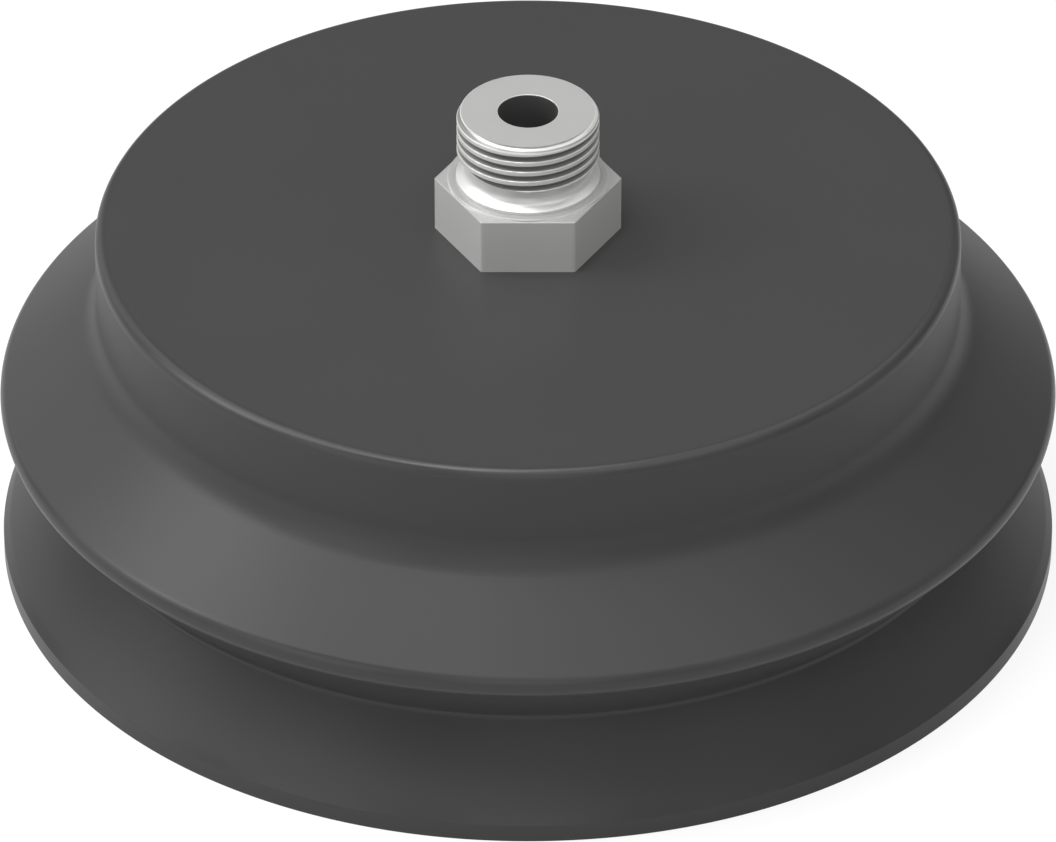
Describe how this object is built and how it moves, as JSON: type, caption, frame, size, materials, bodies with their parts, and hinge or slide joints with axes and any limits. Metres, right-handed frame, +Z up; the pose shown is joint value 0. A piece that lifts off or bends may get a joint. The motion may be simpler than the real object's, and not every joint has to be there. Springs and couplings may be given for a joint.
{
  "type": "vacuum gripper",
  "caption": "Round rubber bellows suction cup with a flat stiffened top and a hollow threaded hexagon fitting, for gripping and lifting workpieces by vacuum.",
  "frame": {"origin": "centre of the plane that the sealing lip rests on", "axes": "+Z up along the cup's axis, from the lip to the threaded end; one flat of the hexagon faces -Y and its corners lie on X"},
  "size_m": [0.125, 0.125, 0.0595],
  "materials": {
    "rubber": "satin moulded rubber",
    "plate_metal": "turned, dull",
    "fitting_metal": "turned, satin"
  },
  "bodies": {
    "root": {"bellows_cup": "rubber", "support_plate": "plate_metal", "threaded_fitting": "fitting_metal"}
  },
  "joints": []
}
